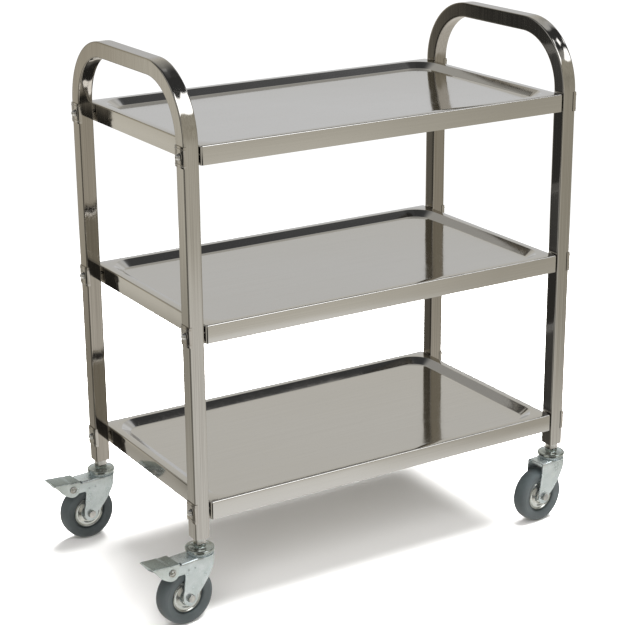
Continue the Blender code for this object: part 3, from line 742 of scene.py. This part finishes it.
def chamfered_hexagon(name, across, low, high, turn):
    """A hexagon along Z whose corners are turned off at both ends, as on a nut."""
    radius = across / 2 / math.cos(math.radians(30))
    blank = prism(name, arc((0, 0), radius, turn, turn + 300, steps=5), low, high)
    flat = across / 2 + 0.0001
    lean = (radius - across / 2) * 0.9
    envelope = lathe("envelope", [(0.0, low), (flat, low), (radius, low + lean),
                                  (radius, high - lean), (flat, high), (0.0, high)], steps=48)
    return combined(blank, [envelope], "INTERSECT")


def axle_bolt_mesh():
    """Hexagon-headed axle bolt and nut about Y, with the bolt's end standing out of the nut."""
    face = FORK_HALF_WIDTH + CLEARANCE
    end, radius, inside_head = face + 0.0060, 0.0040, -face - 0.0040
    shank = [(0.0, end), (0.0030, end), (0.0039, face + 0.0052), (radius, face + 0.0048),
             (radius, inside_head), (0.0, inside_head)]
    washer, washer_radius = 0.0008, 0.0080
    ring = lathe("washer", [(0.0, face), (washer_radius - 0.0002, face),
                            (washer_radius, face + 0.0002), (washer_radius, face + washer),
                            (0.0, face + washer)], steps=40)
    nut = chamfered_hexagon("nut", 0.0128, face + washer - 0.0001, face + 0.0048, turn=12)
    head = chamfered_hexagon("head", 0.0126, -face - 0.0046, -face, turn=25)
    body = combined(lathe("axle_bolt", shank, steps=32), [ring, nut, head], "UNION")
    body.transform(Matrix.Rotation(math.radians(90), 4, "X"))
    return body


# ---------------------------------------------------------------- casters, brake
def pedal_mesh():
    """Foot plate with two creases, wider at its tip, and two cheeks. About Y at its pivot."""
    # distance from the pivot, height of the plate, half its width
    stations = [(-0.0150, 0.0124, 0.0208), (-0.0120, 0.0128, 0.0208), (-0.0060, 0.0128, 0.0208),
                (0.0, 0.0130, 0.0208), (0.0035, 0.0132, 0.0208), (0.0050, 0.0141, 0.0206),
                (0.0110, 0.0146, 0.0204), (0.0190, 0.0152, 0.0204), (0.0290, 0.0160, 0.0207),
                (PEDAL_TIP - 0.0020, 0.0165, 0.0207), (PEDAL_TIP, 0.0163, 0.0206)]
    cheek = [(-0.0118, -0.0030)] + arc((0, 0), 0.0145, 218, 298, steps=10)
    cheek += [(0.0140, -0.0090), (0.0210, -0.0040), (0.0280, 0.0040)]
    bend = 0.0024
    bm = bmesh.new()
    lines = []
    for u, z, half in stations:
        turn = arc((half - bend, z - bend), bend, 0, 90, steps=5)
        points = [(u, -y, height) for y, height in turn]
        points += [(u, y, height) for y, height in reversed(turn)]
        lines.append([bm.verts.new(point) for point in points])
    bridge(bm, lines, closed=False)
    for index in (0, -1):
        edge = [line[index] for line in lines]
        y = edge[0].co.y
        bm.faces.new(edge + [bm.verts.new((u, y, z)) for u, z in reversed(cheek)])
    bmesh.ops.recalc_face_normals(bm, faces=bm.faces)
    face_up(bm, max(bm.faces, key=lambda face: abs(face.normal.z) * face.calc_area()))
    body = thickened(mesh_from(bm, "pedal", outward=False), PEDAL_SHEET)
    return combined(body, [cross_hole(RIVET_HOLE, 0.0, 0.0)], "DIFFERENCE")


def brake_pin_mesh():
    """Rivet with a ring round its domed heads, about Y."""
    face = 0.0216
    half = [(0.0, face + 0.0022), (0.0018, face + 0.0021), (0.0032, face + 0.0016),
            (0.0040, face + 0.0007), (0.0043, face + 0.0005), (0.0058, face + 0.0009),
            (0.0066, face + 0.0006), (0.0068, face), (0.0026, face)]
    profile = half + [(radius, -y) for radius, y in reversed(half)]
    return lathe("brake_pin", profile, steps=40, axis="Y")


# ---------------------------------------------------------------- casters, assembly
def caster_place(place):
    """The caster's frame as a matrix, with its trail and axle height from the joints."""
    swivel, spin = JOINTS[f"swivel_{place}"], JOINTS[f"wheel_spin_{place}"]
    along_axle = Vector(spin["axis"]).normalized()
    trailing = along_axle.cross(Vector((0, 0, 1)))
    turned = Matrix((trailing, along_axle, (0, 0, 1))).transposed().to_4x4()
    origin = Vector((swivel["pos_m"][0], swivel["pos_m"][1], 0))
    to_wheel = Vector(spin["pos_m"]) - origin
    return Matrix.Translation(origin) @ turned, to_wheel.dot(trailing), spin["pos_m"][2]


def build_caster(place, brake):
    """Every piece of one caster."""
    matrix, trail, axle_height = caster_place(place)
    wheel = matrix @ Matrix.Translation((trail, 0, axle_height))
    upright = Matrix.Translation(matrix.translation)
    low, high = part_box(f"leg_socket_{place}")
    add_piece(f"stem_socket_{place}", socket_mesh(low, high), "socket", ROOT_BODY,
              f"leg_socket_{place}", upright)
    add_piece(f"swivel_cup_{place}", cup_mesh(), "cup", ROOT_BODY,
              f"caster_head_{place}", upright)

    pivot = (0.0, 0.0)
    if brake:
        hinge = matrix.inverted() @ Vector(JOINTS[f"brake_{place}"]["pos_m"])
        pivot = (hinge.x, hinge.z)
    fork = chamfered(fork_mesh(brake, trail, axle_height, pivot), 0.0003, angle=40)
    add_piece(f"fork_{place}", fork, "zinc", f"fork_{place}",
              f"caster_fork_{place}", matrix)
    add_piece(f"axle_and_nut_{place}", axle_bolt_mesh(), "axle", f"fork_{place}",
              f"axle_bolt_{place}", wheel)
    add_piece(f"hub_disc_{place}", hub_mesh(), "hub", f"wheel_{place}",
              f"wheel_hub_{place}", wheel)
    add_piece(f"round_tyre_{place}", tyre_mesh(axle_height), "rubber", f"wheel_{place}",
              f"tyre_{place}", wheel)
    if brake:
        hinge_place = matrix @ Matrix.Translation((pivot[0], 0, pivot[1]))
        add_piece(f"foot_pedal_{place}", pedal_mesh(), "pedal", f"pedal_{place}",
                  f"brake_pedal_{place}", hinge_place)
        add_piece(f"pedal_rivet_{place}", brake_pin_mesh(), "axle", f"fork_{place}",
                  f"brake_pin_{place}", hinge_place)
        shoe = frame["nodes"][f"brake_shoe_{place}"]
        shoe.data.materials.clear()
        shoe.data.materials.append(LOOKS["axle"])


for place, brake in BRAKED.items():
    build_caster(place, brake)


# ---------------------------------------------------------------- studio
FLOOR_RADIUS = 2.2
FLOOR_GLOW = 0.05             # lifts the shadows a little, as light bounced off walls would
BACKDROP = (1.1, 1.1, 1.1)    # what the camera sees behind the trolley

# A light is (place from the trolley's middle, side of its square, watts).
LIGHTS = {
    "key_light": ((0.80, 0.35, 3.0), 2.4, 650),
    "fill_light": ((-1.6, -2.4, 2.4), 2.6, 72),
}

CAMERA_PLACE = (-1.5755, -2.5295, 1.4188)   # from the trolley's middle
CAMERA_YAW = 0.5483                         # angles in radians
CAMERA_PITCH = 0.32537
CAMERA_ROLL = -0.0085
CAMERA_LENS = 100.63                        # millimetres, on a sensor 36 mm wide

# What the steel mirrors, by bearing (degrees from +X towards +Y) and height (degrees above the
# horizon). Stops are (height, brightness, warmth). A sector is (bearings, softness, stops) and
# covers what is before it.
DARK_ROOM = [(-90, 0.85, 0.4), (-38, 0.70, 0.6), (-28, 0.25, 1), (-21, 0.04, 0.5), (90, 0.04, 0)]
LEFT_STOPS = [(-90, 0.90, 0.4), (-30, 0.70, 0.6), (-20, 0.50, 0.8), (0, 0.45, 0.8),
              (25, 0.40, 0.5), (45, 0.70, 0), (60, 0.30, 0), (75, 0.10, 0)]
SECTORS = {
    "back": ((20, 104), 6, [
        (-90, 0.90, 0.4), (-32, 0.85, 0.4), (-25, 0.74, 0.6), (-19, 0.56, 0.8), (-10, 0.52, 0.8),
        (-2, 0.66, 0.2), (5, 0.69, 0), (10, 0.655, 0), (16, 0.595, 0.2), (22, 0.59, 0.5),
        (27, 0.56, 0.6), (31, 0.50, 0.6), (36, 0.42, 0.5), (43, 0.33, 0.4), (50, 0.22, 0.3),
        (56, 0.12, 0.2), (61, 0.06, 0), (68, 0.05, 0)]),
    "right": ((17, 42), 4, [
        (-90, 0.90, 0.4), (-30, 0.85, 0.4), (-20, 0.70, 0.4), (0, 0.76, 0), (15, 0.78, 0),
        (25, 0.74, 0), (33, 0.55, 0.3), (38, 0.52, 0.3), (43, 0.60, 0.2), (49, 0.52, 0),
        (53, 0.12, 0), (60, 0.06, 0)]),
    "front_right": ((-84, 15), 4, [
        (-90, 0.86, 0.3), (-30, 0.84, 0.3), (-24.5, 0.82, 0.3), (-21, 0.62, 0.6),
        (-18, 0.44, 0.9), (-12, 0.42, 1), (0, 0.38, 1), (14, 0.34, 1), (17, 0.04, 0),
        (60, 0.05, 0)]),
    "front": ((-80, -55), 5, [
        (-90, 0.87, 0.3), (-32, 0.85, 0.3), (-24, 0.82, 0.3), (-17.5, 0.78, 0.4),
        (-15.5, 0.60, 0.7), (-12, 0.57, 0.8), (-4, 0.50, 0.9), (0, 0.46, 1), (15, 0.40, 1.1),
        (17, 0.04, 0), (60, 0.05, 0)]),
    # the left wall lies across the bearing of 180 degrees, so it takes two sectors
    "left_front": ((-190, -143), 5, LEFT_STOPS),
    "left_rear": ((170, 200), 5, LEFT_STOPS),
    "far_front": ((-140, -88), 4, [
        (-90, 0.85, 0.4), (-38, 0.70, 0.6), (-28, 0.25, 1), (-21, 0.04, 0.5), (-11, 0.05, 0.5),
        (-6, 0.44, 0.9), (14, 0.42, 0.9), (22, 0.30, 0.6), (45, 0.24, 0.4), (60, 0.05, 0)]),
    "far_left": ((136, 166), 8, [
        (-90, 0.85, 0.4), (-38, 0.70, 0.6), (-28, 0.25, 1), (-21, 0.04, 0.5), (-4, 0.05, 0.5),
        (4, 0.50, 0.3), (20, 0.56, 0.3), (34, 0.50, 0.3), (46, 0.34, 0.3), (60, 0.06, 0)]),
    "left_back": ((108, 124), 3, [
        (-90, 0.88, 0.4), (-34, 0.80, 0.5), (-26, 0.52, 0.6), (-20, 0.38, 0.9),
        (-15.5, 0.58, 0.8), (-11, 0.64, 0.8), (-5, 0.52, 1), (2, 0.40, 1.5), (20, 0.38, 1.5),
        (25, 0.34, 1), (33, 0.28, 1), (40, 0.12, 0.5), (60, 0.05, 0)]),
}
# A patch is (bearings, heights, softness, colour) and covers what is before it.
PATCHES = {
    "main_softbox": ((-80, -37), (31, 59), 1.2, (2.5, 2.5, 2.5)),
    "side_softbox": ((-24, -8), (46, 52), 1.0, (2.2, 2.2, 2.2)),
    "dim_reflector": ((-38, -26), (29, 42), 1.5, (0.36, 0.35, 0.33)),
}


def shade(brightness, warmth):
    """A grey that leans towards beige as warmth goes from 0 to 1."""
    return brightness * (1 + 0.075 * warmth), brightness, brightness * (1 - 0.17 * warmth)


# Where front and front_right are dark above the horizon, steel that is itself seen in steel
# mirrors this wall instead.
BOUNCE_BEARINGS, BOUNCE_HEIGHTS = (-84, -28), (12, 34)
BOUNCE_SHADE = shade(0.42, 1)


def floor_material():
    """Pale studio floor that fades out into the surroundings far from the trolley."""
    material, nodes, shader = new_material("studio_floor")
    coords = nodes.object_coords()
    grain = nodes.noise(coords, scale=3.0, detail=2.0)
    distance = nodes.add("ShaderNodeVectorMath", {0: coords}, operation="LENGTH").outputs["Value"]
    nodes.fill(shader, {
        "Base Color": nodes.mix(nodes.remap(grain, 0.0, 1.0), opaque((0.86, 0.855, 0.85)),
                                opaque((0.88, 0.875, 0.87))),
        "Roughness": 0.9,
        "Specular IOR Level": 0.0,
        "Emission Color": opaque((1.0, 0.98, 0.95)),
        "Emission Strength": FLOOR_GLOW,
        "Alpha": nodes.remap(distance, 1.0, 0.0, start=FLOOR_RADIUS * 0.45, end=FLOOR_RADIUS)})
    return material


def add_floor():
    """A disc at floor height."""
    bm = bmesh.new()
    bmesh.ops.create_circle(bm, cap_ends=True, segments=96, radius=FLOOR_RADIUS)
    floor = bpy.data.objects.new("studio_floor", mesh_from(bm, "studio_floor"))
    floor.data.materials.append(floor_material())
    floor.visible_glossy = False
    bpy.context.scene.collection.objects.link(floor)


def within(nodes, value, span, softness):
    """1 where a value is inside a span, 0 outside it, with soft ends."""
    low, high = span
    rise = nodes.remap(value, 0.0, 1.0, start=low - softness, end=low + softness)
    fall = nodes.remap(value, 1.0, 0.0, start=high - softness, end=high + softness)
    return nodes.calculate("MULTIPLY", rise, fall)


def by_height(nodes, level, stops):
    """A colour ramp over level, which goes from 0 to 1 as the height goes from -90 to 90."""
    ramp = nodes.add("ShaderNodeValToRGB", {0: level})
    elements = ramp.color_ramp.elements
    for end, element in ((0, elements[0]), (-1, elements[1])):
        element.position = (stops[end][0] + 90) / 180
        element.color = opaque(shade(*stops[end][1:]))
    for angle, brightness, warmth in stops[1:-1]:
        elements.new((angle + 90) / 180).color = opaque(shade(brightness, warmth))
    return ramp.outputs[0]


def studio_world():
    """Surroundings that the steel mirrors, and a plain white backdrop for the camera."""
    world = bpy.data.worlds.new("studio")
    world.use_nodes = True
    bpy.context.scene.world = world
    nodes = Nodes(world.node_tree)
    direction = nodes.add("ShaderNodeTexCoord").outputs["Generated"]
    degrees = math.degrees(1)
    rise = nodes.calculate("ARCSINE", nodes.axis(direction, "Z"))
    turn = nodes.calculate("ARCTAN2", nodes.axis(direction, "Y"), nodes.axis(direction, "X"))
    height = nodes.calculate("MULTIPLY", rise, degrees)
    bearing = nodes.calculate("MULTIPLY", turn, degrees)
    level = nodes.remap(height, 0.0, 1.0, start=-90, end=90)

    colour = by_height(nodes, level, DARK_ROOM)
    for bearings, softness, stops in SECTORS.values():
        colour = nodes.mix(within(nodes, bearing, bearings, softness), colour,
                           by_height(nodes, level, stops))

    rays = nodes.add("ShaderNodeLightPath").outputs
    wall = nodes.calculate("MULTIPLY", within(nodes, bearing, BOUNCE_BEARINGS, softness=4),
                           within(nodes, height, BOUNCE_HEIGHTS, softness=3))
    second_bounce = nodes.calculate("GREATER_THAN", rays["Ray Depth"], 1.5)
    colour = nodes.mix(nodes.calculate("MULTIPLY", wall, second_bounce), colour,
                       opaque(BOUNCE_SHADE))

    for bearings, heights, softness, tint in PATCHES.values():
        patch = nodes.calculate("MULTIPLY", within(nodes, bearing, bearings, softness * 2),
                                within(nodes, height, heights, softness))
        colour = nodes.mix(patch, colour, opaque(tint))
    colour = nodes.mix(rays["Is Camera Ray"], colour, opaque(BACKDROP))
    background = world.node_tree.nodes["Background"]
    nodes.fill(background, {"Color": colour, "Strength": 1.0})


def add_light(name, offset, size, power):
    """A square soft light that points at the foot of the trolley's middle."""
    data = bpy.data.lights.new(name, "AREA")
    data.shape = "SQUARE"
    data.size = size
    data.energy = power
    light = bpy.data.objects.new(name, data)
    light.location = MIDDLE + Vector(offset)
    light.rotation_euler = (MIDDLE - light.location).to_track_quat("-Z", "Y").to_euler()
    light.visible_glossy = False
    bpy.context.scene.collection.objects.link(light)


def add_camera():
    """The camera, looking down on the trolley from its front left."""
    forward = Vector((math.cos(CAMERA_PITCH) * math.sin(CAMERA_YAW),
                      math.cos(CAMERA_PITCH) * math.cos(CAMERA_YAW), -math.sin(CAMERA_PITCH)))
    right = Vector((math.cos(CAMERA_YAW), -math.sin(CAMERA_YAW), 0))
    up = right.cross(forward)
    rolled_right = math.cos(CAMERA_ROLL) * right + math.sin(CAMERA_ROLL) * up
    rolled_up = math.cos(CAMERA_ROLL) * up - math.sin(CAMERA_ROLL) * right
    axes = Matrix((rolled_right, rolled_up, -forward)).transposed().to_4x4()
    data = bpy.data.cameras.new("camera")
    data.sensor_width = 36.0
    data.lens = CAMERA_LENS
    data.clip_end = 200.0
    camera = bpy.data.objects.new("camera", data)
    camera.matrix_world = Matrix.Translation(MIDDLE + Vector(CAMERA_PLACE)) @ axes
    bpy.context.scene.collection.objects.link(camera)
    bpy.context.scene.camera = camera


add_floor()
studio_world()
for light_name, (offset, size, power) in LIGHTS.items():
    add_light(light_name, offset, size, power)
add_camera()
bpy.context.scene.view_settings.view_transform = "Standard"
